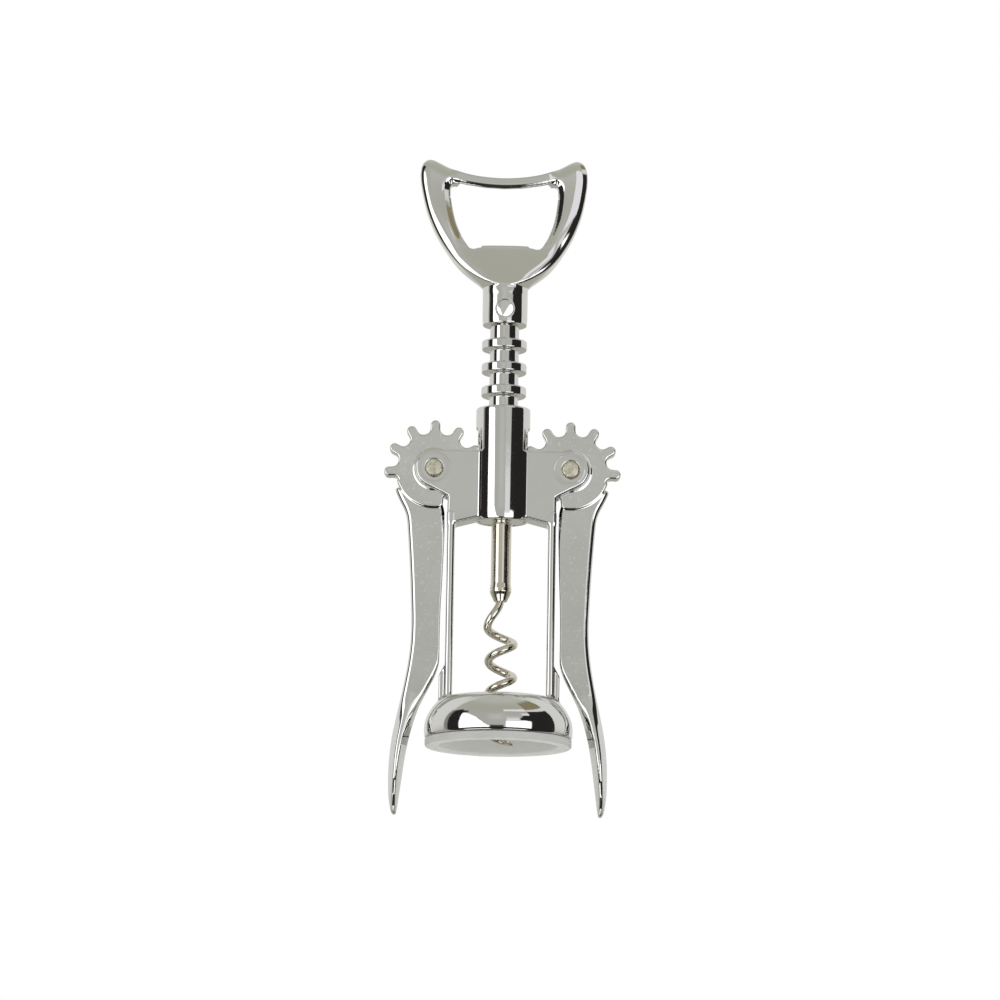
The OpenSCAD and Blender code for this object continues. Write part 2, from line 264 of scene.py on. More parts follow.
# ------------------------------------------------------------------- meshes
def make_mesh(name, verts, faces, normals=None):
    """A mesh object from vertices in mm. faces is an array of quads or a list."""
    me = bpy.data.meshes.new(name)
    v = np.asarray(verts, np.float64) * MM
    if isinstance(faces, np.ndarray):
        me.vertices.add(len(v))
        me.vertices.foreach_set("co", v.astype(np.float32).ravel())
        size = faces.shape[1]
        me.loops.add(faces.size)
        me.loops.foreach_set("vertex_index", faces.astype(np.int32).ravel())
        me.polygons.add(len(faces))
        me.polygons.foreach_set("loop_start", np.arange(0, faces.size, size, dtype=np.int32))
        me.update(calc_edges=True)
    else:
        me.from_pydata([tuple(p) for p in v], [], faces)
    me.polygons.foreach_set("use_smooth", np.ones(len(me.polygons), bool))
    me.update()
    if normals is not None:
        n = np.asarray(normals, np.float64)
        me.normals_split_custom_set_from_vertices([tuple(a) for a in n])
    ob = bpy.data.objects.new(name, me)
    scene.collection.objects.link(ob)
    return ob


def rounded_profile(points, steps=6):
    """[(r, z, radius)] round a section, anticlockwise, as points and outward normals."""
    out = []
    n = len(points)
    for i in range(n):
        p0, p1, p2 = (np.array(points[(i + k) % n][:2], float) for k in (-1, 0, 1))
        rad = points[i][2]
        d1, d2 = p1 - p0, p2 - p1
        l1, l2 = np.linalg.norm(d1), np.linalg.norm(d2)
        d1, d2 = d1 / l1, d2 / l2
        turn = math.atan2(d1[0] * d2[1] - d1[1] * d2[0], d1 @ d2)
        n1 = np.array([d1[1], -d1[0]])
        if rad <= 0 or abs(turn) < 1e-3:
            n2 = np.array([d2[1], -d2[0]])
            m = n1 + n2
            out.append((p1, m / np.linalg.norm(m)))
            continue
        t = min(rad * math.tan(abs(turn) / 2), 0.49 * min(l1, l2))
        r = t / math.tan(abs(turn) / 2)
        sign = 1 if turn > 0 else -1
        centre = p1 - d1 * t - n1 * r * sign
        for k in range(steps + 1):
            a = turn * k / steps
            c, s = math.cos(a), math.sin(a)
            nn = np.array([n1[0] * c - n1[1] * s, n1[0] * s + n1[1] * c])
            out.append((centre + nn * r * sign, nn))
    return out


def turned(name, section, segments=144, axis="z", centre=(0, 0, 0), steps=6, ready=None):
    """A solid of revolution. A point of the section on the axis becomes a pole."""
    profile = ready if ready is not None else rounded_profile(section, steps)
    verts, normals, rows, faces = [], [], [], []
    angles = [2 * math.pi * k / segments for k in range(segments)]
    for (r, z), (nr, nz) in profile:
        if r < 1e-6:
            rows.append([len(verts)])
            verts.append((0, 0, z))
            normals.append((0, 0, 1 if nz > 0 else -1))
        else:
            rows.append(list(range(len(verts), len(verts) + segments)))
            for a in angles:
                verts.append((r * math.cos(a), r * math.sin(a), z))
                normals.append((nr * math.cos(a), nr * math.sin(a), nz))
    m = len(rows)
    for i in range(m):
        a, b = rows[i], rows[(i + 1) % m]
        if len(a) == 1 and len(b) == 1:
            continue
        for k in range(segments):
            q = (k + 1) % segments
            if len(a) == 1:
                faces.append((a[0], b[q], b[k]))
            elif len(b) == 1:
                faces.append((a[k], a[q], b[0]))
            else:
                faces.append((a[k], a[q], b[q], b[k]))
    v, n = np.array(verts, float), np.array(normals, float)
    if axis == "y":  # the section's z runs along -Y
        v, n = v[:, [0, 2, 1]] * [1, -1, 1], n[:, [0, 2, 1]] * [1, -1, 1]
    v = v + np.array(centre)
    return make_mesh(name, v, faces, n)


# ----------------------------------------------------------------- materials
class Socket:
    """Small helper to write shader arithmetic as arithmetic."""

    def __init__(self, tree, out):
        self.tree, self.out = tree, out

    def math(self, op, *others, clamp=False):
        node = self.tree.nodes.new("ShaderNodeMath")
        node.operation, node.use_clamp = op, clamp
        for i, x in enumerate((self, *others)):
            if isinstance(x, Socket):
                self.tree.links.new(x.out, node.inputs[i])
            else:
                node.inputs[i].default_value = x
        return Socket(self.tree, node.outputs[0])

    def __add__(self, o): return self.math("ADD", o)
    def __sub__(self, o): return self.math("SUBTRACT", o)
    def __mul__(self, o): return self.math("MULTIPLY", o)
    def __truediv__(self, o): return self.math("DIVIDE", o)
    def lesser(self, o): return self.math("MINIMUM", o)
    def larger(self, o): return self.math("MAXIMUM", o)

    def step(self, a, b, lo=0.0, hi=1.0, smooth=True):
        node = self.tree.nodes.new("ShaderNodeMapRange")
        node.interpolation_type = "SMOOTHSTEP" if smooth else "LINEAR"
        self.tree.links.new(self.out, node.inputs["Value"])
        for k, x in (("From Min", a), ("From Max", b), ("To Min", lo), ("To Max", hi)):
            node.inputs[k].default_value = x
        return Socket(self.tree, node.outputs["Result"])


def mix_colour(tree, factor, a, b):
    node = tree.nodes.new("ShaderNodeMix")
    node.data_type = "RGBA"
    for key, x in ((0, factor), (6, a), (7, b)):
        if isinstance(x, Socket):
            tree.links.new(x.out, node.inputs[key])
        elif key == 0:
            node.inputs[key].default_value = x
        else:
            node.inputs[key].default_value = (*x, 1)
    return Socket(tree, node.outputs[2])


def noise(tree, vector, scale, detail=2.0, rough=0.5):
    node = tree.nodes.new("ShaderNodeTexNoise")
    node.inputs["Scale"].default_value = scale
    node.inputs["Detail"].default_value = detail
    node.inputs["Roughness"].default_value = rough
    tree.links.new(vector, node.inputs["Vector"])
    return Socket(tree, node.outputs["Fac"])


def stretched(tree, vector, scale):
    node = tree.nodes.new("ShaderNodeMapping")
    node.inputs["Scale"].default_value = scale
    tree.links.new(vector, node.inputs["Vector"])
    return node.outputs["Vector"]


def bump(tree, height, strength, distance, normal=None):
    node = tree.nodes.new("ShaderNodeBump")
    node.inputs["Strength"].default_value = strength
    node.inputs["Distance"].default_value = distance
    tree.links.new(height.out, node.inputs["Height"])
    if normal is not None:
        tree.links.new(normal, node.inputs["Normal"])
    return node.outputs["Normal"]


def metal(name, colour, dull, rough, waves=1.0, grain=0.3, specks=0.0, scratch=0.3,
          blotch=90):
    """A metal with orange peel, fine grain, faint rubbing marks and uneven polish."""
    m = bpy.data.materials.new(name)
    m.use_nodes = True
    t = m.node_tree
    shader = t.nodes["Principled BSDF"]
    shader.inputs["Metallic"].default_value = 1.0
    where = t.nodes.new("ShaderNodeTexCoord").outputs["Object"]
    cloud = noise(t, where, blotch, 3)
    fine = noise(t, where, 2600, 2)
    rub = noise(t, stretched(t, where, (5200, 5200, 260)), 1.0, 2)
    shade = (cloud * 0.6 + fine * 0.4).step(0.35, 0.65, 0.0, 1.0)
    tint = mix_colour(t, shade, dull, colour)
    if specks:
        spots = noise(t, where, 1300, 1).step(0.63, 0.7, 0.0, specks)
        tint = mix_colour(t, spots, tint, (0.93, 0.93, 0.9))
    t.links.new(tint.out, shader.inputs["Base Color"])
    gloss = (cloud.step(0.3, 0.7, rough[0], rough[1]) + rub.step(0.55, 0.8, 0.0, 0.05)
             + fine.step(0.6, 0.8, 0.0, 0.03))
    t.links.new(gloss.out, shader.inputs["Roughness"])
    n = bump(t, noise(t, where, 240, 2), 0.5 * waves, 0.00003)
    n = bump(t, noise(t, where, 900, 2), 0.35 * waves, 0.000006, n)
    n = bump(t, fine, grain, 0.0000016, n)
    n = bump(t, rub, scratch, 0.0000008, n)
    t.links.new(n, shader.inputs["Normal"])
    return m


def plastic(name):
    m = bpy.data.materials.new(name)
    m.use_nodes = True
    t = m.node_tree
    shader = t.nodes["Principled BSDF"]
    where = t.nodes.new("ShaderNodeTexCoord").outputs["Object"]
    cloud = noise(t, where, 120, 3)
    fine = noise(t, where, 2400, 3)
    tint = mix_colour(t, (cloud * 0.7 + fine * 0.3).step(0.3, 0.7), (0.73, 0.73, 0.705),
                      (0.81, 0.81, 0.79))
    # painted light and shade: the outer wall is painted greyer and the inside painted lighter than the
    # one plastic, standing in for the light the outer wall catches and the hollow lacks
    spot = t.nodes.new("ShaderNodeSeparateXYZ")
    t.links.new(where, spot.inputs[0])
    x, y = Socket(t, spot.outputs[0]), Socket(t, spot.outputs[1])
    reach = (x * x + y * y).math("SQRT").step(0.0186, 0.0193)
    painted_shade_outer_wall = mix_colour(t, (cloud * 0.7 + fine * 0.3).step(0.3, 0.7), (0.53, 0.53, 0.51),
                         (0.59, 0.59, 0.575))
    tint = mix_colour(t, reach, tint, painted_shade_outer_wall)
    t.links.new(tint.out, shader.inputs["Base Color"])
    t.links.new((cloud.step(0.3, 0.7, 0.36, 0.46) + fine.step(0.4, 0.7, 0.0, 0.1)).out,
                shader.inputs["Roughness"])
    shader.inputs["Subsurface Weight"].default_value = 0.12
    shader.inputs["Subsurface Radius"].default_value = (0.0012, 0.0012, 0.001)
    n = bump(t, fine, 0.3, 0.00001)
    n = bump(t, noise(t, where, 350, 2), 0.3, 0.00003, n)
    t.links.new(n, shader.inputs["Normal"])
    return m


CHROME = metal("chrome_casting", (0.82, 0.82, 0.805), (0.79, 0.79, 0.775), (0.035, 0.06))
CHROME_LEVER = metal("chrome_lever", (0.835, 0.835, 0.82), (0.775, 0.775, 0.76),
                     (0.04, 0.07), waves=1.3, grain=0.5, specks=0.9)
CHROME_HANDLE = metal("chrome_handle", (0.84, 0.84, 0.815), (0.81, 0.81, 0.785),
                      (0.035, 0.06), waves=1.3)
CHROME_RACK = metal("chrome_rack", (0.82, 0.82, 0.805), (0.79, 0.79, 0.775), (0.03, 0.06))
NICKEL = metal("nickel_steel", (0.8, 0.765, 0.67), (0.74, 0.70, 0.6), (0.07, 0.13),
               waves=0.6, grain=0.5, scratch=0.6)
RIVET = metal("rivet_steel", (0.93, 0.89, 0.76), (0.66, 0.62, 0.5), (0.22, 0.36),
              waves=4.0, grain=4.0, scratch=1.0, blotch=800)
LINER = plastic("liner_plastic")


def finish_piece(ob, body, nodes, material):
    ob.data.materials.append(material)
    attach(ob, body)
    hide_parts(*nodes)
    return ob


# ------------------------------------------------------- the frame casting
def frame_casting():
    h = 0.25
    lo, hi = (-20.5, -20.5, 1.0), (20.5, 20.5, 92.0)
    # the casting is symmetric front to back and left to right, so one quarter is measured
    lo_q = (-1.0, -1.0, 1.0)
    x, y, z = grid(lo_q, (24.0, 20.5, 92.0), h)
    ax, ay = np.abs(x), np.abs(y)
    r = np.hypot(x, y)
    u, v = ax[:, 0, :], z[:, 0, :] + 0 * ax[:, 0, :]
    low = np.clip((63.4 - z) / 3.4, 0, 1)
    barrel = both_round(r - 7.2 + 0.27 * low * low, np.maximum(60.0 - z, z - 90.7),
                        np.where(z < 75, 0.42, 0.6))
    # cheeks
    corner = np.array([14.4, 66.4])
    away = corner - PIVOT
    dist = np.linalg.norm(away)
    ang = math.atan2(away[1], away[0]) + math.acos(4.9 / dist)
    tangent = PIVOT + 4.9 * np.array([math.cos(ang), math.sin(ang)])
    outline = [[-8, 60.3], [0, 60.3], [6.2, 60.7], [12.35, 59.1], [14.4, 59.1], corner, tangent,
               PIVOT, [PIVOT[0], 78.75], [-8, 78.75]]
    d2 = np.minimum(polygon(outline, u, v),
                    np.hypot(u - PIVOT[0], v - PIVOT[1]) - 4.9)[:, None, :]
    # the cheek's face rises to the barrel in a short slope with a tight foot
    s = np.clip(6.6 - ax, 0, 1.5)
    face = 4.1 + np.where(s < 0.55, 0.9 - np.sqrt(0.81 - np.minimum(s, 0.55) ** 2),
                          0.188 + 0.78 * (s - 0.55))
    cheeks = both_round(d2, (ay - face) * 0.9, 0.2 + 0.45 * np.clip((77 - z) / 3, 0, 1))
    body = join(barrel, cheeks, 0.3)
    # the slot for the gears
    slot2 = join(np.hypot(u - PIVOT[0], v - PIVOT[1]) - 13.75,
                 np.maximum(np.maximum(5 - u, v - 85), 73.85 - v), 0.3)[:, None, :]
    body = cut(body, np.maximum(slot2, ay - 2.4), 0.3)
    body = cut(body, np.maximum(r - 6.1, 40 - z), 0.35)
    # legs, rounded across their whole front
    side = np.abs(ax - 13.375) - 1.025
    leg = both_oval(side, ay - 4.1, 0.95, 0.8)
    leg = np.maximum(leg, np.maximum(11.7 - z, z - 62))
    body = join(body, leg, 0.5)
    foot2 = polygon([[13.0, 11.7], [15.9, 11.7], [15.9, 18.7], [14.4, 21.4], [13.0, 21.4]],
                    u, v)[:, None, :]
    foot = both_round(foot2, ay - 3.2, 0.3)
    body = join(body, foot, 0.5)
    # the bell, from its section
    section = smooth_closed(DOME + HOLLOW, 3)
    top = int((15.0 - 1.0) / h)
    rr = np.arange(0, 30, 0.1, dtype=np.float32)
    table = polygon(section, rr[:, None], z[0, 0, :top][None, :])
    f = r[:, :, 0] / 0.1
    i = np.minimum(f.astype(np.int32), len(rr) - 2)
    w = (f - i)[:, :, None]
    bell = table[i] * (1 - w) + table[i + 1] * w
    body[:, :, :top] = join(body[:, :, :top], bell, 0.7)
    # rivet holes, the recess round each rivet's head, and the struck ring beyond it
    q = np.hypot(ax - PIVOT[0], z - PIVOT[1])
    body = cut(body, np.maximum(q - 1.72, ay - 40), 0.05)
    body = cut(body, np.maximum(q - 2.36, 3.7 - ay), 0.16)
    groove = 0.08 * np.exp(-((q - 4.0) / 0.3) ** 2)
    body = body + groove * (ay > 3.3)
    # unfold the quarter, dropping the strip that was measured past the middle
    skip = int(round(1.0 / h))
    half = np.concatenate([body[:skip:-1][:, :, :], body[skip:]], 0)
    full = np.concatenate([half[:, :skip:-1, :], half[:, skip:]], 1)
    nx, ny = (full.shape[0] - 1) // 2, (full.shape[1] - 1) // 2
    origin = (-nx * h, -ny * h, 1.0)
    verts, quads, normals = skin(full, origin, h)
    ob = make_mesh("frame_casting", verts, quads, normals)
    return finish_piece(ob, "frame", ["frame_barrel", "left_leg", "right_leg", "bell"],
                        CHROME)


# ------------------------------------------------------------------- levers
def lever_field():
    h = 0.22
    lo = (2.5, -4.2, -19.6)
    x, y, z = grid(lo, (33.0, 4.2, 89.0), h)
    u, v = x[:, 0, :], z[:, 0, :]
    ay = np.abs(y)
    gu, gv = u - PIVOT[0], v - PIVOT[1]
    rho = np.hypot(gu, gv)
    gear = rho - 9.75
    for k in range(7):
        a = math.radians(FIRST_TOOTH - k * TOOTH_STEP)
        c, s = math.cos(a), math.sin(a)
        along = np.clip(gu * c + gv * s, 7.0, 12.0)
        tooth = np.hypot(gu - along * c, gv - along * s) - 1.3
        gear = join(gear, tooth, 1.5)
    low = np.maximum(rho - 10.3, np.maximum(np.maximum(-3 - gu, gu - 10.5), gv + 3))
    gear = join(gear, low, 0.6)
    notch = polygon([[-2.2, -11], [-2.6, -7.4], [-8.6, -4.6], [-14, -4.6], [-14, -14],
                     [-2.2, -14]], gu, gv)
    gear = cut(gear, notch, 0.8)
    # a low boss round the pivot stands a little proud of the toothed rim
    boss = 0.2 * np.clip((rho - 5.35) / 0.3, 0, 1)
    body = both_round(gear[:, None, :], ay - 2.25 + boss[:, None, :], 0.45)
    outer, inner = smooth_open(ARM_OUTER), smooth_open(ARM_INNER)
    outline = np.vstack([outer, inner])
    d = polygon(outline, u, v)
    near_outer = segment_distance(outer, False, u, v)
    near_inner = segment_distance(inner, False, u, v)
    share = near_inner / np.maximum(near_inner + near_outer, 1e-6)
    share = share * share * (3 - 2 * share)
    # above, the inner edge is sharp and the outer one round
    fade = np.clip((26 - v) / 9, 0, 1)
    inner_width = 0.35 + 0.85 * fade * fade * (3 - 2 * fade)
    width = inner_width + (1.5 - inner_width) * share
    deep = np.minimum(width, 1.25)
    stations = np.array(HORN)[::-1]
    level = z[0, 0, :]
    half = np.interp(level, stations[:, 0], stations[:, 1]).astype(np.float32)
    depth = np.interp(level, stations[:, 0], stations[:, 2]).astype(np.float32)
    b = ay - depth
    arm = both_oval(d[:, None, :], b, width[:, None, :].astype(np.float32),
                    deep[:, None, :].astype(np.float32))
    # beside the gear the inner edge is bevelled, less and less further down
    within = near_inner + 1.05 * np.clip((62 - v) / 13, 0, 1)
    fall = np.interp(within, [0, 0.5, 0.88, 1.0], [1.45, 0.32, 0.035, 0]).astype(np.float32)
    clear = 0.35 * np.clip((within - 1) / 0.3, 0, 1) + 0.6 * np.clip((51 - v) / 3, 0, 1)
    bevel = (ay - 1.8 + (fall - clear)[:, None, :]) * 0.75
    arm = both_round(arm, bevel.astype(np.float32), 0.1)
    # below, the arm turns into a horn that is deeper than it is wide
    horn = almond(d[:, None, :], b, half, depth)
    turn = np.clip((20 - level) / 18, 0, 1)
    turn = turn * turn * (3 - 2 * turn)
    arm = arm * (1 - turn) + horn * turn
    body = join(body, arm, 0.35)
    bore = rho[:, None, :] - 1.76
    body = cut(body, np.maximum(bore, ay - 30), 0.05)
    return skin(body, lo, h)


# ------------------------------------------------------------------- handle
LEAN = 0.03


def arc_drop(d, radius):
    """How far a face has fallen at d inside its edge, along an arc that ends at 45 degrees."""
    reach = radius * math.sin(math.radians(45))
    return radius - np.sqrt(radius ** 2 - np.clip(d + reach, 0, reach) ** 2)


def brow_drop(d):
    """The same beside the window: a quick turn, then a steep band down to the edge."""
    at = np.array([-2.5, -2.1, -1.75, -1.45, -0.7, 0.0])
    lean = np.tan(np.radians([0.0, 12, 24, 33, 39, 45]))
    fall = np.concatenate([[0], np.cumsum(np.diff(at) * (lean[1:] + lean[:-1]) / 2)])
    return np.interp(np.minimum(d, 0), at, fall).astype(np.float32)


def handle_field():
    h = 0.22
    lo = (-24.5, -6.8, 111.5)
    x, y, z = grid(lo, (24.5, 6.8, 160.5), h)
    ay = np.abs(y)
    u = x[:, 0, :] + LEAN * np.maximum(z[:, 0, :] - 127, 0)
    v = z[:, 0, :] + 0 * u
    outer = smooth_closed(HEAD + [[0, 153.2]] + mirrored(HEAD))
    window = smooth_closed([[0, 150.05]] + WINDOW + mirrored(WINDOW), 2)
    d_out, d_win = polygon(outer, u, v), -polygon(window, u, v)
    d2 = np.maximum(d_out, d_win)
    # half thickness: thinner at the top bar, a ramp from the window down to the hub
    soft = 0.5 + 1.6 * np.clip((np.abs(u) - 5.5) / 3, 0, 1)
    down = 133.5 - v
    ramp = np.where(np.abs(down) < soft, (down + soft) ** 2 / (4 * soft), np.maximum(down, 0))
    rise = np.clip((v - 138) / 15, 0, 1)
    thick = (3.75 + 0.23 * np.minimum(ramp, 9.8) - 0.9 * rise * rise * (3 - 2 * rise))
    bar = np.clip((v - 147.6) / 2.2, 0, 1) * np.clip((15 - np.abs(u)) / 3, 0, 1)
    bar = bar * bar * (3 - 2 * bar)
    fade = np.clip((v - 134.6) / 3, 0, 1)
    fade = fade * fade * (3 - 2 * fade)
    chamfer = 0.49 * np.maximum(d_win + 1.3, 0)
    front = (thick - arc_drop(d_out, 4.5) * (1 - bar)
             - brow_drop(d_win) * fade * (1 - bar) - chamfer * bar)
    head = both_round(d2[:, None, :], (ay - front[:, None, :]) * 0.85, 0.25)
    # the top bar's underside climbs towards the back
    edge = np.interp(np.abs(u) + 0 * v, [0, 5, 10, 13.2], [150.05, 150.3, 151.05, 151.8])
    edge = edge - 1.5 * np.maximum(np.abs(u) - 11.8, 0)
    lip = (edge[:, None, :] + 0.22 * (y + 3.4) - z) * 0.97
    lip = np.where(z > 146.5, lip, -5)
    head = np.where((z > 148) & (np.abs(u)[:, None, :] < 16), both_round(head, lip, 0.2), head)
    # below, the shoulders draw in to the hub as a cone
    cone = (np.hypot(x, y) - 5.5 - 0.5 * np.clip(z - 120.8, 0, 1)
            - 1.3 * np.maximum(z - 123.3, 0))
    head = np.where(z < 129.5, both_round(head, cone * 0.75, 0.5), head)
    r = np.hypot(x, y)
    rr = np.arange(0, 12, 0.1, dtype=np.float32)
    section = [[-8, 113], [6, 113], [6, 123], [3.75, 128.5], [-8, 128.5]]
    top_i = z.shape[2]
    table = polygon(section, rr[:, None] + 0 * z[0, 0, :][None, :], z[0, 0, :][None, :])
    f = np.minimum(r[:, :, 0] / 0.1, len(rr) - 1.01)
    i = f.astype(np.int32)
    w = (f - i)[:, :, None]
    hub = table[i] * (1 - w) + table[i + 1] * w
    low = np.clip((115.6 - z) / 2.6, 0, 1)
    hub = both_round(hub + 0.2 * low * low, 113.0 - z, 0.3)
    body = join(head, hub, 0.45)
    body = cut(body, np.maximum(r - 2.12, z - 121.2), 0.1)
    q = np.hypot(x, z - 117.0)
    body = cut(body, np.maximum(q - 2.28, 4.4 - ay), 0.04)
    return skin(body, lo, h)


def pin_field():
    h = 0.12
    lo = (-2.6, -6.5, 114.4)
    x, y, z = grid(lo, (2.6, 6.5, 119.6), h)
    q = np.hypot(x, z - 117.0)
    ends = np.maximum(q - 2.27, 4.5 - np.abs(y))
    shaft = q - 1.2
    body = np.minimum(ends, shaft)
    # the ends were dressed by three strokes of a file
    w = z - 117.0
    right = 0.31 * (x - 0.53) - 0.18 * w
    left = -0.36 * (x + 1.2) - 0.11 * w
    dressed = np.abs(y) - 5.97 + np.maximum(np.maximum(right, left), 0)
    end = np.maximum(dressed, np.hypot(x, y) - 6.06)
    return skin(both_round(body, end, 0.06), lo, h)


frame_casting()

verts, quads, normals = lever_field()
right = make_mesh("right_lever_cast", verts, quads, normals)
finish_piece(right, "right_wing", ["right_lever"], CHROME_LEVER)
left = make_mesh("left_lever_cast", verts * [-1, 1, 1], quads[:, ::-1].copy(),
                 normals * [-1, 1, 1])
finish_piece(left, "left_wing", ["left_lever"], CHROME_LEVER)

verts, quads, normals = handle_field()
handle = make_mesh("opener_handle_cast", verts, quads, normals)
finish_piece(handle, "screw", ["opener_handle"], CHROME_HANDLE)

verts, quads, normals = pin_field()
pin = make_mesh("handle_cross_pin", verts, quads, normals)
finish_piece(pin, "screw", ["handle_pin"], CHROME_HANDLE)

# ---------------------------------------------------------------- the rack
section = [(2.16, 112.9, 0.15), (2.16, 60.2, 0.15), (6.0, 60.2, 0.5)]
z_top = 106.45 - 7 * RACK_PITCH + 2.6
section += [(6.0, z_top, 0.45), (3.85, z_top, 0.5)]
for k in range(6, -1, -1):
    z0 = 106.45 - k * RACK_PITCH
    section += [(3.85, z0, 0.45), (6.0, z0, 0.5), (6.0, z0 + 2.6, 0.5), (3.85, z0 + 2.6, 0.45)]
section += [(3.85, 112.9, 0.1)]
rack = turned("ringed_rack", section, 160, steps=6)
finish_piece(rack, "rack_carriage", ["rack"], CHROME_RACK)

# -------------------------------------------------------- spindle and worm
section = [(0, 46.8, 0), (1.12, 46.8, 0), (1.12, 38.8, 0.1), (1.7, 38.8, 0.15),
           (2.55, 40.6, 1.2), (2.85, 41.4, 0.8), (2.85, 42.3, 0.8), (2.65, 43.6, 1.5),
           (2.65, 59.85, 0.1), (2.1, 59.85, 0.1), (2.1, 120.9, 0.2), (0, 120.9, 0)]
spindle = turned("screw_spindle", section, 96, steps=6)
finish_piece(spindle, "screw", ["spindle"], NICKEL)


def worm_mesh():
    pitch, turns, z0, run_in = 8.95, 3.5, 0.6, 8.4
    z1 = z0 + pitch * turns

    def line(t):
        if t <= turns:
            a = 2 * math.pi * t
            off = 0.4 * min(1, (turns - t) * 2)
            sag = 0.0
            if t < 0.35:
                sag = 0.55 * math.sin(math.pi / 2 * t / 0.35)
            elif t < 1.2:
                sag = 0.55 * math.cos(math.pi / 2 * (t - 0.35) / 0.85) ** 2
            return np.array([off + 3.3 * math.cos(a), 3.3 * math.sin(a),
                             z0 + pitch * t - sag])
        s = t - turns
        if s <= 1:
            a = math.radians(180 + 90 * s)
            r = 3.3 * (1 + math.cos(math.pi * s)) / 2
            return np.array([r * math.cos(a), r * math.sin(a), z1 + run_in * s])
        return np.array([0, 0, z1 + run_in + (s - 1) * 6.5])

    per, start = 76, 0.0
    ts = [i / per for i in range(int(turns * per) + 1)]
    ts += [turns + i / 40 for i in range(1, 41)] + [turns + 1 + i / 6 for i in range(1, 7)]
    path = np.array([line(t) for t in ts])
    tang = np.gradient(path, axis=0)
    tang /= np.linalg.norm(tang, axis=1)[:, None]
    side = np.array([1.0, 0, 0])
    verts, normals, faces = [], [], []
    sides = 20
    # a frame carried along the wire without twisting
    n = side - (side @ tang[0]) * tang[0]
    n /= np.linalg.norm(n)
    for i, (p, t) in enumerate(zip(path, tang)):
        n = n - (n @ t) * t
        n /= np.linalg.norm(n)
        b = np.cross(t, n)
        grow = min(1.0, 0.14 + 0.86 * (max(ts[i] - start, 0) / 0.28) ** 0.8)
        for k in range(sides):
            a = 2 * math.pi * k / sides
            d = math.cos(a) * n + math.sin(a) * b
            verts.append(p + 1.1 * grow * d)
            normals.append(d)
    m = len(path)
    for i in range(m - 1):
        for k in range(sides):
            q = (k + 1) % sides
            faces.append((i * sides + k, i * sides + q, (i + 1) * sides + q,
                          (i + 1) * sides + k))
    tip = len(verts)
    verts += [path[0] - tang[0] * 0.12, path[-1] + tang[-1] * 0.05]
    normals += [-tang[0], tang[-1]]
    for k in range(sides):
        q = (k + 1) % sides
        faces.append((tip, q, k))
        faces.append((tip + 1, (m - 1) * sides + k, (m - 1) * sides + q))
    return make_mesh("wire_worm", np.array(verts), faces, np.array(normals))


finish_piece(worm_mesh(), "screw", ["worm"], NICKEL)

# ------------------------------------------------------------------ rivets
for side, body, node in ((1, "frame", "right_pivot_rivet"), (-1, "frame", "left_pivot_rivet")):
    section = [(0, -4.78, 0), (1.2, -4.76, 0), (2.0, -4.68, 0.3), (2.22, -4.4, 0.2),
               (2.22, -3.72, 0.08), (1.7, -3.72, 0.08), (1.7, 3.72, 0.08), (2.22, 3.72, 0.08),
               (2.22, 4.4, 0.2), (2.0, 4.68, 0.3), (1.2, 4.76, 0), (0, 4.78, 0)]
    rivet = turned(node + "_peened", section, 64, axis="y",
                   centre=(side * 18.1, 0, 73.85), steps=5)
    finish_piece(rivet, body, [node], RIVET)

# ------------------------------------------------------------------- liner
section = [(12.2, 6.8, 0.2), (15.6, 6.8, 0.25), (15.6, 0.45, 0.4), (16.05, 0.0, 0.35),
           (19.0, 0.0, 0.35), (19.33, 0.35, 0.3), (19.33, 1.98, 0.1), (17.75, 1.98, 0.1),
           (17.75, 5.5, 0.5), (16.9, 8.2, 0.4), (12.2, 8.2, 0.2)]
liner = turned("bell_liner_ring", section, 192, steps=5)
finish_piece(liner, "frame", ["bell_liner"], LINER)

# ------------------------------------------------------- camera and studio
cam_data = bpy.data.cameras.new("camera")
cam = bpy.data.objects.new("camera", cam_data)
scene.collection.objects.link(cam)
cam_data.lens, cam_data.sensor_width = 188.46, 36.0
cam_data.clip_start, cam_data.clip_end = 0.05, 20
at = Vector((0, -1.367, -0.178))
forward = (Vector((0, 0, 0.073)) - at).normalized()
right_v = forward.cross(Vector((0, 0, 1))).normalized()
up_v = right_v.cross(forward)
roll = math.radians(-0.926)
right_r = right_v * math.cos(roll) - up_v * math.sin(roll)
up_r = right_v * math.sin(roll) + up_v * math.cos(roll)
# the target stands a little right of and above the picture's middle
px = 1 / 5235
forward_r = (forward - right_r * (2.4 * px) - up_r * (25.3 * px)).normalized()
right_r = (right_r - forward_r * right_r.dot(forward_r)).normalized()
up_r = right_r.cross(forward_r)
m = Matrix((right_r, up_r, -forward_r)).transposed().to_4x4()
m.translation = at
cam.matrix_world = m
scene.camera = cam

# the floor under the lever tips: pale, seen from above only
me = bpy.data.meshes.new("floor")
me.from_pydata([(-4, -4, 0), (4, -4, 0), (4, 4, 0), (-4, 4, 0)], [], [(0, 1, 2, 3)])
floor = bpy.data.objects.new("floor", me)
floor.location = (0, 0, -0.0186)
scene.collection.objects.link(floor)
floor.visible_glossy = False
mat = bpy.data.materials.new("floor_paint")
mat.use_nodes = True
t = mat.node_tree
shader = t.nodes["Principled BSDF"]
where = t.nodes.new("ShaderNodeTexCoord").outputs["Object"]
tone = mix_colour(t, noise(t, where, 30, 3).step(0.3, 0.7), (0.86, 0.86, 0.855),
                  (0.89, 0.89, 0.885))
t.links.new(tone.out, shader.inputs["Base Color"])
shader.inputs["Roughness"].default_value = 0.7
clear = t.nodes.new("ShaderNodeBsdfTransparent")
swap = t.nodes.new("ShaderNodeMixShader")
t.links.new(t.nodes.new("ShaderNodeNewGeometry").outputs["Backfacing"], swap.inputs[0])
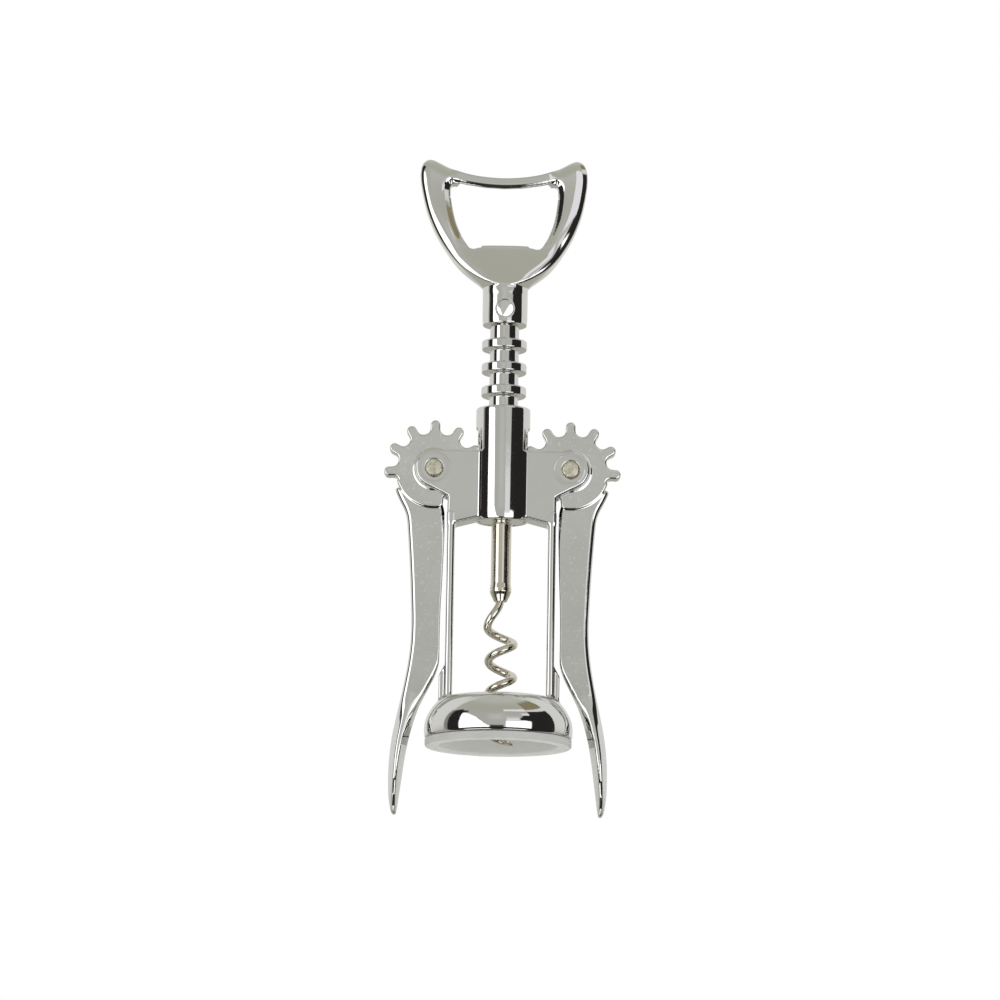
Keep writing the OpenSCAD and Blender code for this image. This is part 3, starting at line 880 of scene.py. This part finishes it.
# far off, the floor turns into the white sweep behind it
spot = t.nodes.new("ShaderNodeSeparateXYZ")
t.links.new(where, spot.inputs[0])
fx, fy = Socket(t, spot.outputs[0]), Socket(t, spot.outputs[1])
sweep = t.nodes.new("ShaderNodeEmission")
sweep.inputs["Color"].default_value = (1, 1, 1, 1)
blend = t.nodes.new("ShaderNodeMixShader")
t.links.new((fx * fx + fy * fy).math("SQRT").step(0.3, 1.5).out, blend.inputs[0])
t.links.new(shader.outputs[0], blend.inputs[1])
t.links.new(sweep.outputs[0], blend.inputs[2])
mat.cycles.emission_sampling = "NONE"
t.links.new(blend.outputs[0], swap.inputs[1])
t.links.new(clear.outputs[0], swap.inputs[2])
t.links.new(swap.outputs[0], t.nodes["Material Output"].inputs["Surface"])
floor.data.materials.append(mat)

lamp_data = bpy.data.lights.new("overhead", "AREA")
lamp_data.shape, lamp_data.size, lamp_data.energy = "DISK", 1.2, 13
lamp = bpy.data.objects.new("overhead", lamp_data)
lamp.location = (0.15, 0.1, 1.3)
lamp.visible_glossy = False
lamp.visible_camera = False
scene.collection.objects.link(lamp)

# the studio round the object: a pale sweep behind, a grey room in front, white
# panels at the left and low at the right, and black flags beside them
def card(az, el, points, soft=1.5):
    """Mask of a convex card given by its corners (azimuth, elevation), anticlockwise."""
    least = None
    for (a0, e0), (a1, e1) in zip(points, points[1:] + points[:1]):
        length = math.hypot(a1 - a0, e1 - e0)
        nx, ny = -(e1 - e0) / length, (a1 - a0) / length
        d = az * nx + (el * ny - (nx * a0 + ny * e0))
        least = d if least is None else least.lesser(d)
    return least.step(-soft, soft)


BLACK = (0.022, 0.02, 0.019)


def studio(t, az, el):
    """Colour of the studio by azimuth (0 in front, positive to the right) and elevation."""
    behind = az.math("ABSOLUTE").step(86, 93)
    front = mix_colour(t, el.step(24, 52), (0.47, 0.47, 0.445), (0.44, 0.44, 0.38))
    sky = mix_colour(t, behind, front, (0.73, 0.73, 0.71))
    sky = mix_colour(t, el.step(55, 80), sky, (0.52, 0.53, 0.48))
    layers = [
        ([(-14, 14), (6, 14), (6, 30), (-14, 30)], 8, (0.55, 0.55, 0.525)),
        ([(-92, -90), (-80, -90), (-80, 40), (-92, 40)], 1.5, (0.27, 0.25, 0.25)),
        ([(-84.5, -90), (-63, -90), (-61, 38), (-72, 45), (-84.5, 40)], 1.5, BLACK),
        ([(-76, 36), (-55, 35.5), (-55, 41), (-76, 43)], 1, BLACK),
        ([(12, 16), (34, 16), (34, 24), (12, 24)], 4, (0.55, 0.55, 0.54)),
        ([(41, 25), (53, 25), (53, 33), (37, 33)], 1, (0.87, 0.87, 0.85)),
        ([(52, -90), (92, -90), (88, 12), (84, 36), (74, 40), (60, 38), (52, 27), (52, 12)],
         1.5, BLACK),
        ([(34, 11), (54, 11), (54, 27), (41, 27), (34, 18)], 1, BLACK),
        ([(-62.5, -45), (-13.5, -45), (-13.5, -5), (-21, 0), (-62.5, 0)], 1, (1.7, 1.7, 1.7)),
        ([(-62.5, -2), (-20.5, -2), (-35, 20), (-50, 30), (-58, 32.5), (-62.5, 32.5)], 1,
         (1.7, 1.7, 1.7)),
        ([(10, -45), (51, -45), (51, 8), (42, 11), (12, 8)], 2, (1.6, 1.58, 1.62)),
        ([(13, 7), (33, 7), (33, 18.4), (13, 18.4)], 1.2, (0.8, 0.79, 0.8)),
        ([(-13, -62), (8, -62), (8, -3), (-13, -3)], 1.5, (0.04, 0.04, 0.036)),
        ([(-64, -34), (53, -34), (53, -20), (-64, -20)], 1.5, BLACK),
    ]
    for points, soft, tone in layers:
        sky = mix_colour(t, card(az, el, points, soft), sky, tone)
    sky = mix_colour(t, el.step(-46, -54), sky, (0.10, 0.095, 0.085))
    return mix_colour(t, behind * el.step(7, -12), sky, (0.42, 0.42, 0.37))


def wall(name, radius, a0, a1, z0, z1, colour):
    """A curved panel that only shows in reflections. colour(tree, az, el) paints it."""
    n = 48
    verts, faces = [], []
    for k in range(n + 1):
        a = math.radians(a0 + (a1 - a0) * k / n)
        for zz in (z0, z1):
            verts.append((radius * math.sin(a), -radius * math.cos(a), zz))
    for k in range(n):
        faces.append((2 * k, 2 * k + 1, 2 * k + 3, 2 * k + 2))
    me = bpy.data.meshes.new(name)
    me.from_pydata(verts, [], faces)
    ob = bpy.data.objects.new(name, me)
    scene.collection.objects.link(ob)
    ob.visible_camera = ob.visible_diffuse = ob.visible_shadow = False
    ob.visible_transmission = ob.visible_volume_scatter = False
    mat = bpy.data.materials.new(name)
    mat.use_nodes = True
    mat.cycles.emission_sampling = "NONE"
    t = mat.node_tree
    t.nodes.remove(t.nodes["Principled BSDF"])
    at = t.nodes.new("ShaderNodeSeparateXYZ")
    t.links.new(t.nodes.new("ShaderNodeTexCoord").outputs["Object"], at.inputs[0])
    x, y, z = (Socket(t, at.outputs[i]) for i in range(3))
    az = x.math("ARCTAN2", y * -1.0) * 57.2958
    el = (z - 0.008).math("ARCTAN2", (x * x + y * y).math("SQRT")) * 57.2958
    glow = t.nodes.new("ShaderNodeEmission")
    t.links.new(colour(t, az, el).out, glow.inputs["Color"])
    t.links.new(glow.outputs[0], t.nodes["Material Output"].inputs["Surface"])
    me.materials.append(mat)
    return ob


def near_flag(t, az, el):
    tone = mix_colour(t, el.step(39, 41), BLACK, (0.72, 0.72, 0.7))
    tone = mix_colour(t, el.step(45, 47), tone, (0.26, 0.23, 0.14))
    return mix_colour(t, el.step(60, 66), tone, (0.38, 0.37, 0.29))


def lilac_card(t, az, el):
    return mix_colour(t, el.step(39.5, 41.5), (0.62, 0.61, 0.64), (0.86, 0.84, 0.89))


def low_flag(t, az, el):
    return mix_colour(t, az.step(-200, 200), BLACK, BLACK)


wall("far_wall", 0.45, -110, 60, -0.75, 1.0, studio)
wall("near_flag", 0.3, 51.5, 95, -0.5, 0.68, near_flag)
wall("lilac_card", 0.2, 9, 50, 0.172, 0.23, lilac_card)
wall("low_flag", 0.1, -64, 62, -0.028, -0.008, low_flag)

world = bpy.data.worlds.new("studio")
scene.world = world
world.use_nodes = True
t = world.node_tree
for n in list(t.nodes):
    t.nodes.remove(n)
direction = t.nodes.new("ShaderNodeTexCoord").outputs["Generated"]
parts = t.nodes.new("ShaderNodeSeparateXYZ")
t.links.new(direction, parts.inputs[0])
dx, dy, dz = (Socket(t, parts.outputs[i]) for i in range(3))
sky = studio(t, dx.math("ARCTAN2", dy * -1.0) * 57.2958, dz.math("ARCSINE") * 57.2958)
path = t.nodes.new("ShaderNodeLightPath")
# matt surfaces are lit by a plain soft studio, brightest from the pale table below
el = dz.math("ARCSINE") * 57.2958
plain = mix_colour(t, el.step(-15, 15), (1.25, 1.25, 1.22), (0.62, 0.62, 0.62))
sky = mix_colour(t, Socket(t, path.outputs["Is Diffuse Ray"]), sky, plain)
sky = mix_colour(t, Socket(t, path.outputs["Is Camera Ray"]), sky, (1.0, 1.0, 1.0))
back = t.nodes.new("ShaderNodeBackground")
t.links.new(sky.out, back.inputs["Color"])
out = t.nodes.new("ShaderNodeOutputWorld")
t.links.new(back.outputs[0], out.inputs["Surface"])
